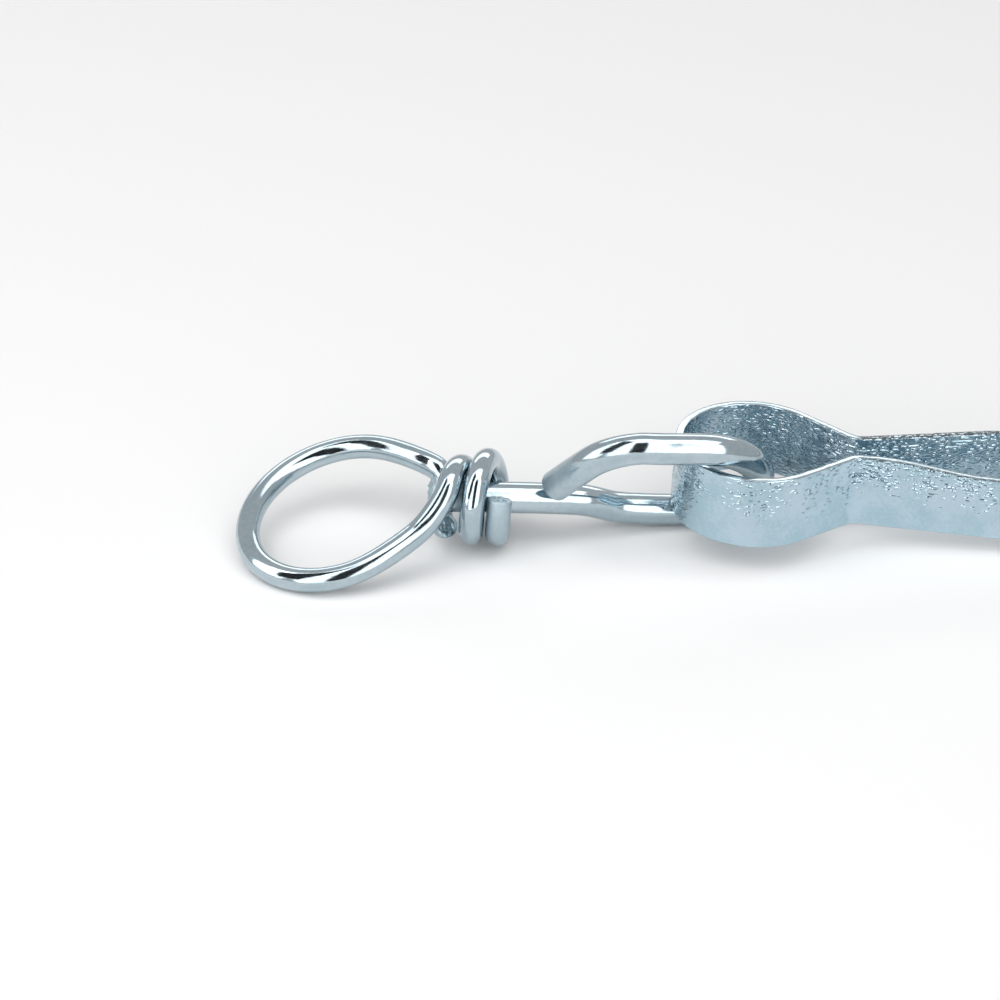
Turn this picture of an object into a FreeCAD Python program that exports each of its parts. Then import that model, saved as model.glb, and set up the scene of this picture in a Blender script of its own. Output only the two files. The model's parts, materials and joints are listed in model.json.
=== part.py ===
import FreeCAD, Part

import math
import os

V = FreeCAD.Vector

# Swivel ring on a folded strap.
# Three pieces: a wire ring wound on a headed pin, the pin bent into an eye, and a strap folded
# through the eye.  Origin: middle of the bore through the strap's two ears.
# +Y runs along that bore, +Z is up, the ring points to -X.  Millimetres.

# ---- strap: one folded strip of sheet ------------------------------------------------------
strap_thickness = 1.0
strap_width = 9.3            # width of the strip, across the nose
arm_width = 8.1              # width of the arms beyond the step in their upper edge
nose_radius = 9.75           # outside of the round fold
nose_taper = 38.0            # degrees, how fast the sides of the nose close
waist_gap = 3.5              # clear gap between the arms at the waist
waist_bend = 2.5             # radius on the strip's middle line
front_splay = 5.5            # degrees, front arm away from the middle plane
back_splay = 11.5            # degrees, back arm
arm_length = 21.0            # along the strap, waist bend to ear bend
ear_bend = 8.0               # radius on the strip's middle line
nose_to_bore = 47.0          # along the strap
ear_diameter = 10.0
ear_bore = 4.2
front_step = 15.5            # along the front arm, from the nose's centre
back_step = 28.0             # along the back arm
step_length = 13.0
strap_pitch = 3.35           # degrees, nose held up by the eye it lies on

# ---- pin: headed wire, bent into an eye ----------------------------------------------------
pin_wire = 3.9
head_ledge = 0.4             # head beyond the wire, all round
head_thickness = 1.0
head_round = 0.45
rim_clearance = 0.28         # eye to each rim of the strap
eye_lean = 33.5              # degrees, top of the eye towards the front
pin_azimuth = 8.8            # degrees, pin towards the back as it nears the strap
pin_fall = 6.0               # degrees, pin downwards as it nears the strap
shank_to_lower = 2.4         # pin axis to the lower strand's axis
coil_to_bend = 9.95          # coil's middle to where the shank starts to bend
eye_bend_length = 10.7
bow_lead = 0.97              # eye's bow starts this far ahead of its upper crossing of the rim
upper_run = 6.1              # straight part of the upper strand
upper_bend_radius = 8.0
upper_bend_angle = 65.0      # degrees
end_gap = 0.2                # cut end to shank
coil_forward = 3.2           # coil's middle in front of the strap's middle plane
coil_to_nose = 33.25         # coil's middle to the nose's centre, along X

# ---- ring: one wire, ring and coil ---------------------------------------------------------
ring_wire = 3.0
wrap_clearance = 0.21        # tight first wraps to pin
ring_long = 11.78            # half length of the slightly oval ring, middle line
ring_short = 10.41
ring_oval_angle = 40.4
ring_droop = 16.3            # degrees below the pin's axis
ring_roll = 12.0             # degrees, front side low
ring_swing = 6.3             # degrees, sideways

# coil, in ring wire diameters; angles run round the pin, 0 at the front and 90 on top
coil_pitch = 1.09
coil_swell = 0.283           # outer turns beyond the tight wraps
coil_lean = 0.505            # axial swing of each turn
coil_lean_angle = 25.0
coil_shift = -0.083
coil_end_angle = 748.0
swell_angles = (120, 300)    # first turn grows from the tight radius between these
head_lift = 0.12             # first turn held clear of the head
head_lift_angles = (35, 95)
wrap_ahead = 1.433           # short wrap ahead of the coil's middle
wrap_angles = (322, 300, 270, 240, 212)
wrap_step = 30
ring_step = 20
ring_corners = range(-170, 51, ring_step)
coil_corners = range(35, 726, wrap_step)
seat_ahead = 1.717           # head's seat
throat_ahead = 1.733         # where the ring's plane meets the pin's axis
ring_ahead = 0.36            # near side of the ring's middle line beyond the throat
# angle, beyond the tight wraps, ahead of the coil's middle
short_end_lead = ((190, 0.16, 1.52), (176, 0.36, 1.77), (168, 0.71, 2.17))
coil_lead = ((-16, 0.95, 3.0), (-10, 0.48, 2.4), (8, 0.22, 1.96))

def sin(angle):
    return math.sin(math.radians(angle))


def cos(angle):
    return math.cos(math.radians(angle))


# ---- worked out ----------------------------------------------------------------------------
ear_radius = ear_diameter / 2
pin_radius = pin_wire / 2
ring_radius = ring_wire / 2
head_radius = pin_radius + head_ledge
head_to_coil = seat_ahead * ring_wire
throat = throat_ahead * ring_wire
ring_reach = math.hypot(ring_long * cos(ring_oval_angle), ring_short * sin(ring_oval_angle))
ring_centre = ring_reach + ring_ahead * ring_wire
wrap_radius = pin_radius + ring_radius + wrap_clearance
end_standoff = pin_radius * (1 + cos(upper_bend_angle)) + end_gap


def smooth_step(value, start, end):
    t = min(max((value - start) / (end - start), 0.0), 1.0)
    return t * t * (3 - 2 * t)


# The strip's middle line
middle_radius = nose_radius - strap_thickness / 2
waist_half = (waist_gap + strap_thickness) / 2
side_drop = middle_radius * cos(nose_taper) - waist_half - waist_bend * (1 - cos(nose_taper))
side_run = side_drop / sin(nose_taper)
waist_at = middle_radius * sin(nose_taper) + side_run * cos(nose_taper) + waist_bend * sin(nose_taper)


def strip_steps(splay):
    """Radius and turn of each bend of one side (positive turns in), and the straight run after it."""
    ear_at = waist_at + arm_length + (waist_bend + ear_bend) * sin(splay)
    return [
        (middle_radius, 90 + nose_taper, side_run),
        (waist_bend, -(nose_taper + splay), arm_length / cos(splay)),
        (ear_bend, splay, nose_to_bore + ear_radius - ear_at),
    ]


def ear_half(splay):
    """From the middle plane to the middle of the ear's sheet."""
    return waist_half + arm_length * sin(splay) / cos(splay) + (waist_bend + ear_bend) * (1 - cos(splay))


def strip_side(offset, splay, mirrored):
    """Edges of one side of the strip at this distance outside its middle line."""
    position = V(-middle_radius - offset, 0, 0)
    heading = 90.0
    edges = []
    for radius, turn, run in strip_steps(splay):
        inward = 1 if turn > 0 else -1
        bend = radius + inward * offset
        side = V(inward * sin(heading), -inward * cos(heading), 0)
        centre = position + side * bend
        half = heading - turn / 2
        end = heading - turn
        middle = centre - V(inward * sin(half), -inward * cos(half), 0) * bend
        stop = centre - V(inward * sin(end), -inward * cos(end), 0) * bend
        tail = stop + V(cos(end), sin(end), 0) * run
        edges.append(Part.Arc(position, middle, stop).toShape())
        edges.append(Part.LineSegment(stop, tail).toShape())
        position = tail
        heading = end
    if mirrored:
        edges = [edge.mirror(V(0, 0, 0), V(0, 1, 0)) for edge in edges]
    return edges, V(position.x, -position.y if mirrored else position.y, 0)


half_sheet = strap_thickness / 2
bore_side = (ear_half(back_splay) - ear_half(front_splay)) / 2
bore_height = (arm_width - strap_width) / 2


def strap_to_part(shape):
    """From the strap's own frame (nose centre, mid width) to the part's frame."""
    shape.translate(V(-nose_to_bore, -bore_side, -bore_height))
    shape.rotate(V(0, 0, 0), V(0, 1, 0), strap_pitch)
    return shape


def strap_point(along, height):
    """A point of the middle plane, given in the strap's own frame, in the part's frame."""
    x = along - nose_to_bore
    z = height - bore_height
    level = x * cos(strap_pitch) + z * sin(strap_pitch)
    rise = z * cos(strap_pitch) - x * sin(strap_pitch)
    return V(level, -bore_side, rise)


def side_view(step_start, near, depth):
    """The strap seen from the side: an S step down in the upper edge, a round ear at the end."""
    top = strap_width / 2
    low_top = arm_width - strap_width / 2
    left = -nose_radius - 1
    step_middle = step_start + step_length / 2
    step_end = step_start + step_length
    step = Part.BezierCurve()
    corners = [(step_start, top), (step_middle, top), (step_middle, low_top), (step_end, low_top)]
    step.setPoles([V(x, 0, z) for x, z in corners])
    edges = [
        Part.LineSegment(V(left, 0, -top), V(left, 0, top)).toShape(),
        Part.LineSegment(V(left, 0, top), V(step_start, 0, top)).toShape(),
        step.toShape(),
        Part.LineSegment(V(step_end, 0, low_top), V(nose_to_bore, 0, low_top)).toShape(),
        Part.LineSegment(V(nose_to_bore, 0, low_top), V(nose_to_bore, 0, -top)).toShape(),
        Part.LineSegment(V(nose_to_bore, 0, -top), V(left, 0, -top)).toShape(),
    ]
    face = Part.Face(Part.Wire(edges))
    face.translate(V(0, near, 0))
    ear = Part.makeCylinder(ear_radius, depth, V(nose_to_bore, near, bore_height), V(0, 1, 0))
    return face.extrude(V(0, depth, 0)).fuse(ear)


def make_strap():
    outer_back, tip_outer_back = strip_side(half_sheet, back_splay, False)
    inner_back, tip_inner_back = strip_side(-half_sheet, back_splay, False)
    outer_front, tip_outer_front = strip_side(half_sheet, front_splay, True)
    inner_front, tip_inner_front = strip_side(-half_sheet, front_splay, True)
    edges = outer_back + inner_back + outer_front + inner_front
    edges.append(Part.LineSegment(tip_outer_back, tip_inner_back).toShape())
    edges.append(Part.LineSegment(tip_outer_front, tip_inner_front).toShape())
    outline = Part.Wire(Part.__sortEdges__(edges))
    height = strap_width + ear_diameter
    strip = Part.Face(outline).extrude(V(0, 0, height))
    strip.translate(V(0, 0, -height / 2))

    reach = nose_radius + ear_half(back_splay)
    strip = strip.common(side_view(front_step, -reach, reach).fuse(side_view(back_step, 0, reach)))
    bore = Part.makeCylinder(ear_bore / 2, 2 * reach, V(nose_to_bore, -reach, bore_height), V(0, 1, 0))
    return strap_to_part(strip.cut(bore)).Solids[0]


def rounded_path(points):
    """Straight runs joined by tangent arcs, each arc reaching halfway along its shorter run."""
    edges = []
    start = points[0]
    for before, corner, after in zip(points, points[1:], points[2:]):
        back = before - corner
        ahead = after - corner
        reach = min(back.Length, ahead.Length) / 2
        enter = corner + back.normalize() * reach
        leave = corner + ahead.normalize() * reach
        turn = math.pi - back.getAngle(ahead)
        if (enter - start).Length > 0.001:
            edges.append(Part.LineSegment(start, enter).toShape())
        else:
            enter = start
        if turn < 0.002:
            edges.append(Part.LineSegment(enter, leave).toShape())
        else:
            middle = (back + ahead).normalize()
            radius = reach / math.tan(turn / 2)
            to_arc = radius / math.cos(turn / 2) - radius
            edges.append(Part.Arc(enter, corner + middle * to_arc, leave).toShape())
        start = leave
    if (points[-1] - start).Length > 0.001:
        edges.append(Part.LineSegment(start, points[-1]).toShape())
    return Part.Wire(edges)


def sweep_round(path, radius):
    first = path.Edges[0]
    direction = first.tangentAt(first.FirstParameter)
    start = first.valueAt(first.FirstParameter)
    section = Part.Wire(Part.Circle(start, direction, radius).toShape())
    return path.makePipeShell([section], True, True).Solids[0]


# ---- the pin's own frame -------------------------------------------------------------------
nose_centre = strap_point(0, 0)
pin_along = V(cos(pin_fall) * cos(pin_azimuth), cos(pin_fall) * sin(pin_azimuth), -sin(pin_fall))
front = V(0, -1, 0) - pin_along * V(0, -1, 0).dot(pin_along)
front.normalize()
up = front.cross(pin_along)
leaning = V(0, -sin(eye_lean), cos(eye_lean))
eye_across = leaning - pin_along * leaning.dot(pin_along)
eye_across.normalize()

# The eye's two strands clear the strap's rims; the lower strand's place sets the pin's height.
rim_to_strand = pin_radius + rim_clearance
eye_height = (strap_width + 2 * rim_to_strand) / (eye_across.z * cos(strap_pitch))
upper_side = pin_along.y * coil_to_nose - coil_forward + eye_across.y * (eye_height - shank_to_lower)
eye_crossing = math.sqrt(middle_radius ** 2 - upper_side ** 2)
lower_rim = strap_point(-eye_crossing, -strap_width / 2)
coil_x = nose_centre.x - coil_to_nose
coil_y = nose_centre.y - coil_forward
lower_along = (lower_rim.x - coil_x) / pin_along.x
lower_z = lower_rim.z - rim_to_strand / cos(strap_pitch)
coil_z = lower_z + shank_to_lower * eye_across.z - pin_along.z * lower_along
coil_middle = V(coil_x, coil_y, coil_z)


def pin_point(along, across):
    return coil_middle + pin_along * along + eye_across * across


def make_pin():
    lower = -shank_to_lower
    upper = lower + eye_height
    bow = eye_height / 2
    bow_at = coil_to_nose - eye_crossing - bow_lead
    bend_end = coil_to_bend + eye_bend_length
    upper_start = bow_at - upper_run
    drop = upper_bend_radius * (1 - cos(upper_bend_angle))
    slope_run = (upper - drop - end_standoff) / sin(upper_bend_angle)
    slope_top = upper_start - upper_bend_radius * sin(upper_bend_angle)
    half_turn = pin_point(bow_at + bow, (lower + upper) / 2)
    bend_mid = pin_point((coil_to_bend + bend_end) / 2, lower / 2)
    shank = [pin_point(-head_to_coil, 0), pin_point(coil_to_bend, 0)]
    edges = [Part.LineSegment(shank[0], shank[1]).toShape()]
    # gentle S down to the lower strand: two arcs that meet in its middle
    length = eye_bend_length
    swing = 2 * math.degrees(math.atan(-lower / length))
    s_radius = length / 2 / sin(swing)
    quarter = pin_point(coil_to_bend + s_radius * sin(swing / 2), -s_radius * (1 - cos(swing / 2)))
    three_quarter = pin_point(bend_end - s_radius * sin(swing / 2), lower + s_radius * (1 - cos(swing / 2)))
    edges.append(Part.Arc(shank[1], quarter, bend_mid).toShape())
    edges.append(Part.Arc(bend_mid, three_quarter, pin_point(bend_end, lower)).toShape())
    edges.append(Part.LineSegment(pin_point(bend_end, lower), pin_point(bow_at, lower)).toShape())
    edges.append(Part.Arc(pin_point(bow_at, lower), half_turn, pin_point(bow_at, upper)).toShape())
    edges.append(Part.LineSegment(pin_point(bow_at, upper), pin_point(upper_start, upper)).toShape())
    half_angle = upper_bend_angle / 2
    bend_middle = pin_point(
        upper_start - upper_bend_radius * sin(half_angle), upper - upper_bend_radius * (1 - cos(half_angle))
    )
    bend_stop = pin_point(slope_top, upper - drop)
    edges.append(Part.Arc(pin_point(upper_start, upper), bend_middle, bend_stop).toShape())
    cut_end = pin_point(slope_top - slope_run * cos(upper_bend_angle), end_standoff)
    edges.append(Part.LineSegment(bend_stop, cut_end).toShape())
    body = sweep_round(Part.Wire(edges), pin_radius)
    head = Part.makeCylinder(head_radius, head_thickness, shank[0] - pin_along * head_thickness, pin_along)
    rims = [edge for edge in head.Edges if isinstance(edge.Curve, Part.Circle)]
    head = head.makeFillet(head_round, rims)
    return body.fuse(head).removeSplitter().Solids[0]


# ---- the ring's wire -----------------------------------------------------------------------
def around_pin(angle, radius, along):
    return coil_middle + pin_along * along + front * (radius * cos(angle)) + up * (radius * sin(angle))


ring_level = pin_along * -cos(ring_swing) - front * sin(ring_swing)
ring_along = ring_level * cos(ring_droop) - up * sin(ring_droop)
ring_side = front * cos(ring_roll) - up * sin(ring_roll)
ring_side = ring_side - ring_along * ring_side.dot(ring_along)
ring_side.normalize()


def ring_point(angle):
    outside = 1 / cos(ring_step / 2)
    x = ring_long * outside * cos(angle)
    y = ring_short * outside * sin(angle)
    along = ring_centre + x * cos(ring_oval_angle) - y * sin(ring_oval_angle)
    side = x * sin(ring_oval_angle) + y * cos(ring_oval_angle)
    return coil_middle - pin_along * throat + ring_along * along + ring_side * side


def lead_point(angle, beyond, ahead):
    return around_pin(angle, wrap_radius + beyond * ring_wire, -ahead * ring_wire)


def coil_point(angle, step):
    swell = coil_swell * smooth_step(angle, swell_angles[0], swell_angles[1])
    lift = head_lift * (1 - smooth_step(angle, head_lift_angles[0], head_lift_angles[1]))
    radius = wrap_radius + (swell + lift) * ring_wire
    turns = (angle - 360) / 360
    along = coil_pitch * turns + coil_shift - coil_lean * cos(angle - coil_lean_angle)
    return around_pin(angle, radius / cos(step / 2), along * ring_wire)


def ring_route():
    """Corners of the wire's path, from the cut end of the short wrap to the cut end of the coil."""
    wrap_corner = wrap_radius / cos(wrap_step / 2)
    points = [around_pin(angle, wrap_corner, -wrap_ahead * ring_wire) for angle in wrap_angles]
    points += [lead_point(angle, beyond, ahead) for angle, beyond, ahead in short_end_lead]
    points += [ring_point(angle) for angle in ring_corners]
    points += [lead_point(angle, beyond, ahead) for angle, beyond, ahead in coil_lead]
    points += [coil_point(angle, wrap_step) for angle in coil_corners]
    points.append(coil_point(coil_end_angle, 0))
    return points


def make_ring():
    return sweep_round(rounded_path(ring_route()), ring_radius)


nodes = {
    "strap": make_strap(),
    "eye_pin": make_pin(),
    "swivel_ring": make_ring(),
}

os.makedirs("parts", exist_ok=True)
for name, shape in nodes.items():
    shape.exportStep("parts/" + name + ".step")
    box = shape.BoundBox
    print(name, shape.isValid(), round(shape.Volume, 1), "z from", round(box.ZMin, 2))
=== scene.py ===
import functools
import json
import math

import bmesh
import bpy
from bpy.props import FloatProperty, FloatVectorProperty, PointerProperty
from mathutils import Matrix, Quaternion, Vector, noise


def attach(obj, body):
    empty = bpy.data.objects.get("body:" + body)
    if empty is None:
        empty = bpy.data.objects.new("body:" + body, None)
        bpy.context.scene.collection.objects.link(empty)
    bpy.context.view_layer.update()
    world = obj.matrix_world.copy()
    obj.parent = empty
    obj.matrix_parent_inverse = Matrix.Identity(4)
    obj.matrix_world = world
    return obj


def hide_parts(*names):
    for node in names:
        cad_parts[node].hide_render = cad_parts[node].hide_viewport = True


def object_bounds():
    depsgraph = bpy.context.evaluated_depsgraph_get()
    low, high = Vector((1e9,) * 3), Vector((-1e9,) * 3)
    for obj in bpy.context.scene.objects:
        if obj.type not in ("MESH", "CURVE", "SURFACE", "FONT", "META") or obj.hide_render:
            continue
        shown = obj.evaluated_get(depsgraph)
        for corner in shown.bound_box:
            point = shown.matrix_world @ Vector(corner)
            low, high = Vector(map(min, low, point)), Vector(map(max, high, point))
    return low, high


bl_info = {
    "name": "Swivel ring on a folded strap",
    "version": (1, 0, 0),
    "blender": (4, 5, 0),
    "location": "3D View > Sidebar > Swivel",
    "description": "Wire ring wound on a headed eye pin that hangs in a folded strap, "
                   "with plating and studio",
    "category": "Object",
}

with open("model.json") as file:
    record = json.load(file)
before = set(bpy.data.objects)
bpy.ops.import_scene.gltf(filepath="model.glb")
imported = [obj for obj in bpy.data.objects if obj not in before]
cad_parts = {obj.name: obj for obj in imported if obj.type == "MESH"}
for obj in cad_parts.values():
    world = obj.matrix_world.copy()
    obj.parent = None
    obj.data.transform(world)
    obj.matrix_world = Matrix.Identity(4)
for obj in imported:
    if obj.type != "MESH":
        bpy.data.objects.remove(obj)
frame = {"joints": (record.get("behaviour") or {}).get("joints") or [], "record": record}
cad_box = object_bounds()
joints = {joint["name"]: joint for joint in frame["joints"]}

MM = 0.001
PER_METRE = 1000.0
WORLD_Y = Vector((0, 1, 0))

# Places shared with the frame: the eye swings about the nose of the strap, the ring turns about the pin.
nose_centre = Vector(joints["eye_swing"]["pos_m"])
strap_up = Vector(joints["eye_swing"]["axis"]).normalized()
strap_along = WORLD_Y.cross(strap_up).normalized()
coil_middle = Vector(joints["ring_swivel"]["pos_m"])
pin_along = Vector(joints["ring_swivel"]["axis"]).normalized()
pin_front = (-WORLD_Y + pin_along * pin_along.y).normalized()
pin_up = pin_front.cross(pin_along)
floor_level = cad_box[0].z
ear_bore = next(mount for mount in frame["record"]["mounts"] if mount["name"] == "ear_bore")


def sin(angle):
    return math.sin(math.radians(angle))


def cos(angle):
    return math.cos(math.radians(angle))


def smooth_step(value, start, end):
    t = min(max((value - start) / (end - start), 0.0), 1.0)
    return t * t * (3 - 2 * t)


def size(name, description, value):
    """A length in metres, from its value in millimetres."""
    return FloatProperty(name=name, description=description, default=value * MM, unit="LENGTH", precision=5)


def degrees(name, description, value):
    return FloatProperty(name=name, description=description, default=math.radians(value), subtype="ANGLE")


def share(name, description, value):
    return FloatProperty(name=name, description=description, default=value, min=0.0, subtype="FACTOR")


def ratio(name, description, value):
    return FloatProperty(name=name, description=description, default=value, subtype="NONE")


def colour(name, description, value):
    return FloatVectorProperty(name=name, description=description, default=value, size=3, subtype="COLOR",
                               min=0.0, max=1.0)


# ---- sizes ---------------------------------------------------------------------------------


class SwivelRingSizes(bpy.types.PropertyGroup):
    """Sizes of the wire ring and its coil."""
    wire: size("Wire", "Diameter of the ring's wire", 3.0)
    wrap_clearance: size("Wrap clearance", "Tight first wraps to the pin", 0.21)
    long_half: size("Long half", "Half length of the oval ring, middle line", 11.78)
    short_half: size("Short half", "Half width of the oval ring, middle line", 10.41)
    oval_angle: degrees("Oval angle", "Turn of the oval in the ring's plane", 40.4)
    droop: degrees("Droop", "Ring below the pin's axis", 16.3)
    roll: degrees("Roll", "Front side of the ring held low", 12.0)
    swing: degrees("Swing", "Ring turned sideways", 6.3)


class EyePinSizes(bpy.types.PropertyGroup):
    """Sizes of the headed pin and its eye."""
    wire: size("Wire", "Diameter of the pin's wire", 3.9)
    head_ledge: size("Head ledge", "Head beyond the wire, all round", 0.4)
    head_thickness: size("Head thickness", "Thickness of the upset head", 1.0)
    rim_clearance: size("Rim clearance", "Eye to each rim of the strap", 0.28)
    lean: degrees("Lean", "Top of the eye towards the front", 33.5)


class StrapSizes(bpy.types.PropertyGroup):
    """Sizes of the folded strap."""
    thickness: size("Thickness", "Thickness of the strip", 1.0)
    width: size("Width", "Width of the strip across the nose", 9.3)
    arm_width: size("Arm width", "Width beyond the step in the upper edge", 8.1)
    nose_radius: size("Nose radius", "Outside of the round fold", 9.75)
    ear_diameter: size("Ear", "Diameter of the round ears", 10.0)
    rim_round: size("Rim round", "Rounding of the strip's edges", 0.16)
    crease: size("Crease depth", "Depth of the fine creases in the skin of the strip", 0.045)


class PlatingLook(bpy.types.PropertyGroup):
    """Colours and gloss of the plating."""
    wire_colour: colour("Wire colour", "Plating on the two wires", (0.475, 0.56, 0.605))
    wire_deep: colour("Wire deep colour", "Plating where it is thinner", (0.40, 0.49, 0.54))
    wire_gloss: share("Wire roughness", "Roughness of the drawn wire", 0.075)
    dull_ends: share("Dull ends", "Extra roughness where the wire was gripped near its cuts", 0.34)
    strip_colour: colour("Strip colour", "Plating on the strip", (0.48, 0.60, 0.68))
    # The strip's deep colour is also painted shade: the strip's colour darkens towards it along the fine
    # creases.
    strip_deep_and_crease_shade: colour("Strip deep colour", "Plating in the strip's creases", (0.38, 0.525, 0.595))
    strip_gloss: share("Strip roughness", "Roughness of the strip's faces", 0.14)
    crease_height: size("Crease height", "Height of the finest creases in the strip's plating", 0.34)
    edge_gloss: share("Edge roughness", "Roughness of the strip's polished edges", 0.10)
    cut_gloss: share("Cut roughness", "Roughness of the sheared wire ends", 0.34)


class StudioSettings(bpy.types.PropertyGroup):
    """Camera, lamps and floor."""
    view_azimuth: degrees("View azimuth", "Camera round to the right of straight ahead", 1.0)
    view_elevation: degrees("View elevation", "Camera above the horizon", 31.0)
    view_distance: size("View distance", "Camera to the middle of the view", 650.0)
    view_width: size("View width", "Width of the view at that distance", 121.95)
    nose_right: size("Nose to the right", "Strap's nose to the right of the view's middle", 30.79)
    nose_above: size("Nose above", "Strap's nose above the view's middle", 3.23)
    lamp_brightness: ratio("Lamp brightness", "Brightness of each soft box's face", 1.84)
    surround: share("Surround", "Brightness of the surround in reflections", 0.62)
    fill: share("Fill", "Light from all round", 0.04)
    floor_colour: colour("Floor colour", "Pale floor", (0.80, 0.80, 0.80))


# ---- meshes --------------------------------------------------------------------------------


def mesh_object(name, bm, body, node, materials):
    """A finished piece: smooth mesh in place, riding on its body and standing for its node."""
    mesh = bpy.data.meshes.new(name)
    bm.to_mesh(mesh)
    bm.free()
    for material in materials:
        mesh.materials.append(material)
    mesh.shade_smooth()
    piece = bpy.data.objects.new(name, mesh)
    bpy.context.scene.collection.objects.link(piece)
    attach(piece, body)
    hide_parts(node)
    return piece


def smooth_line(corners, per_corner):
    """Closely spaced points of the smooth line that these corners steer."""
    curve = bpy.data.curves.new("line", "CURVE")
    curve.dimensions = "3D"
    curve.resolution_u = per_corner
    spline = curve.splines.new("NURBS")
    spline.points.add(len(corners) - 1)
    for point, corner in zip(spline.points, corners):
        point.co = (*corner, 1.0)
    spline.order_u = 4
    spline.use_endpoint_u = True
    line = bpy.data.objects.new("line", curve)
    mesh = bpy.data.meshes.new_from_object(line)
    points = [vertex.co.copy() for vertex in mesh.vertices]
    bpy.data.meshes.remove(mesh)
    bpy.data.objects.remove(line)
    bpy.data.curves.remove(curve)
    return points


def round_corner(radius, step):
    """Distance of steering corners from the middle of a round stretch of this radius."""
    return 3 * radius / (2 + cos(step))


def sweep(bm, stations, sides):
    """Tube through stations of (centre, radius); its length and round place are kept for the finish."""
    place = bm.verts.layers.float_vector.new("wire_place")
    near_cut = bm.verts.layers.float.new("near_cut")
    centres = [centre for centre, radius in stations]
    heading = (centres[1] - centres[0]).normalized()
    turn = Vector((0, 0, 1)).rotation_difference(heading)
    travelled = 0.0
    frames = []
    for index, (centre, radius) in enumerate(stations):
        before = centres[max(index - 1, 0)]
        after = centres[min(index + 1, len(centres) - 1)]
        ahead = (after - before).normalized()
        turn = heading.rotation_difference(ahead) @ turn
        heading = ahead
        travelled += (centre - before).length
        frames.append((centre, radius, turn @ Vector((1, 0, 0)), turn @ Vector((0, 1, 0)), travelled))
    last = len(stations) - 1
    skin = bmesh.ops.create_grid(bm, x_segments=last, y_segments=sides, size=1.0)["verts"]
    rims = ([], [])
    for vertex in skin:
        index = round((vertex.co.x + 1) / 2 * last)
        angle = (vertex.co.y + 1) * math.pi
        centre, radius, across, up, travelled = frames[index]
        vertex[place] = (travelled / MM, math.cos(angle), math.sin(angle))
        vertex[near_cut] = 1 - smooth_step(min(travelled, frames[-1][4] - travelled) / MM, 2.0, 8.0)
        vertex.co = centre + (across * math.cos(angle) + up * math.sin(angle)) * radius
        if index in (0, last):
            rims[index == last].append(vertex)
    bmesh.ops.remove_doubles(bm, verts=bm.verts, dist=0.0005 * MM)
    bmesh.ops.recalc_face_normals(bm, faces=bm.faces)
    return [[vertex for vertex in rim if vertex.is_valid] for rim in rims]


def trimmed(line, length):
    """The line cut back at both ends, which leaves room for the rounded lips of the cuts."""
    line = list(line)
    for _ in range(2):
        line.reverse()
        left = length
        while (line[0] - line[1]).length < left:
            left -= (line[0] - line[1]).length
            line.pop(0)
        line[0] = line[0].lerp(line[1], left / (line[0] - line[1]).length)
    return line


# A cut end's loops from the lip inwards: size and height in wire radii.
CAP_LOOPS = ((0.985, 0.09), (0.94, 0.15), (0.87, 0.17), (0.79, 0.16), (0.71, 0.15), (0.63, 0.14),
             *((0.55 - 0.08 * loop, 0.13) for loop in range(6)))
LIP_SHARE = 0.93
TORN_DEPTH = 0.13


def sideways(spoke, outward):
    """The part of the spoke that lies in the cut."""
    return spoke - outward * spoke.dot(outward)


def close_end(bm, rim, outward, radius, seed, slant=Vector()):
    """Closes a wire's end with a rounded lip and an uneven sheared face, out of square by the slant."""
    edges = [edge for edge in {e for vertex in rim for e in vertex.link_edges} if edge.is_boundary]
    face = bmesh.ops.contextual_create(bm, geom=edges)["faces"][0]
    middle = face.calc_center_median()
    rings = []
    for grow, height in CAP_LOOPS:
        rings += bmesh.ops.inset_region(bm, faces=[face], thickness=0.02 * radius,
                                        use_even_offset=False)["faces"]
        for vertex in face.verts:
            spoke = sideways(vertex.co - middle, outward)
            vertex.co = middle + spoke.normalized() * (grow * radius) + outward * (height * radius)
    rings += bmesh.ops.poke(bm, faces=[face])["faces"]
    inside = [item for item in rings if item.is_valid]
    for item in inside:
        if sideways(item.calc_center_median() - middle, outward).length < LIP_SHARE * radius:
            item.material_index = 1
    for vertex in {vertex for item in inside for vertex in item.verts}:
        spoke = sideways(vertex.co - middle, outward)
        inner = min(1.0, max(0.0, 8 * (1.0 - spoke.length / radius)))
        spot = vertex.co / MM + Vector((seed, 0, 0))
        rough = noise.noise(spot / 0.6) + 0.6 * noise.noise(spot / 0.27)
        vertex.co += outward * (TORN_DEPTH * radius * rough * inner + spoke.dot(slant) * inner)


# ---- ring ----------------------------------------------------------------------------------

# Coil in wire diameters; angles run round the pin, 0 at the front and 90 on top.
COIL_PITCH = 1.09
COIL_SWELL = 0.283
COIL_LEAN = 0.505
COIL_LEAN_ANGLE = 25
COIL_SHIFT = -0.083
COIL_END_ANGLE = 748
COIL_STEP = 30
COIL_CORNERS = range(35, 726, COIL_STEP)
SWELL_ANGLES = (120, 300)
HEAD_LIFT = 0.12
HEAD_LIFT_ANGLES = (35, 95)
WRAP_AHEAD = 1.433
WRAP_ANGLES = (322, 300, 270, 240, 212)
SEAT_AHEAD = 1.717
THROAT_AHEAD = 1.733
RING_AHEAD = 0.36
RING_STEP = 20
RING_CORNERS = range(-170, 71, RING_STEP)
SHORT_END_LEAD = ((190, 0.14, 1.30), (174, 0.42, 1.32), (167, 0.68, 1.86))
COIL_LEAD = ((-20, 0.96, 2.92), (-11, 0.49, 2.37), (8, 0.22, 1.96))


def around_pin(angle, radius, along):
    return (coil_middle + pin_along * along + pin_front * (radius * cos(angle))
            + pin_up * (radius * sin(angle)))


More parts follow.
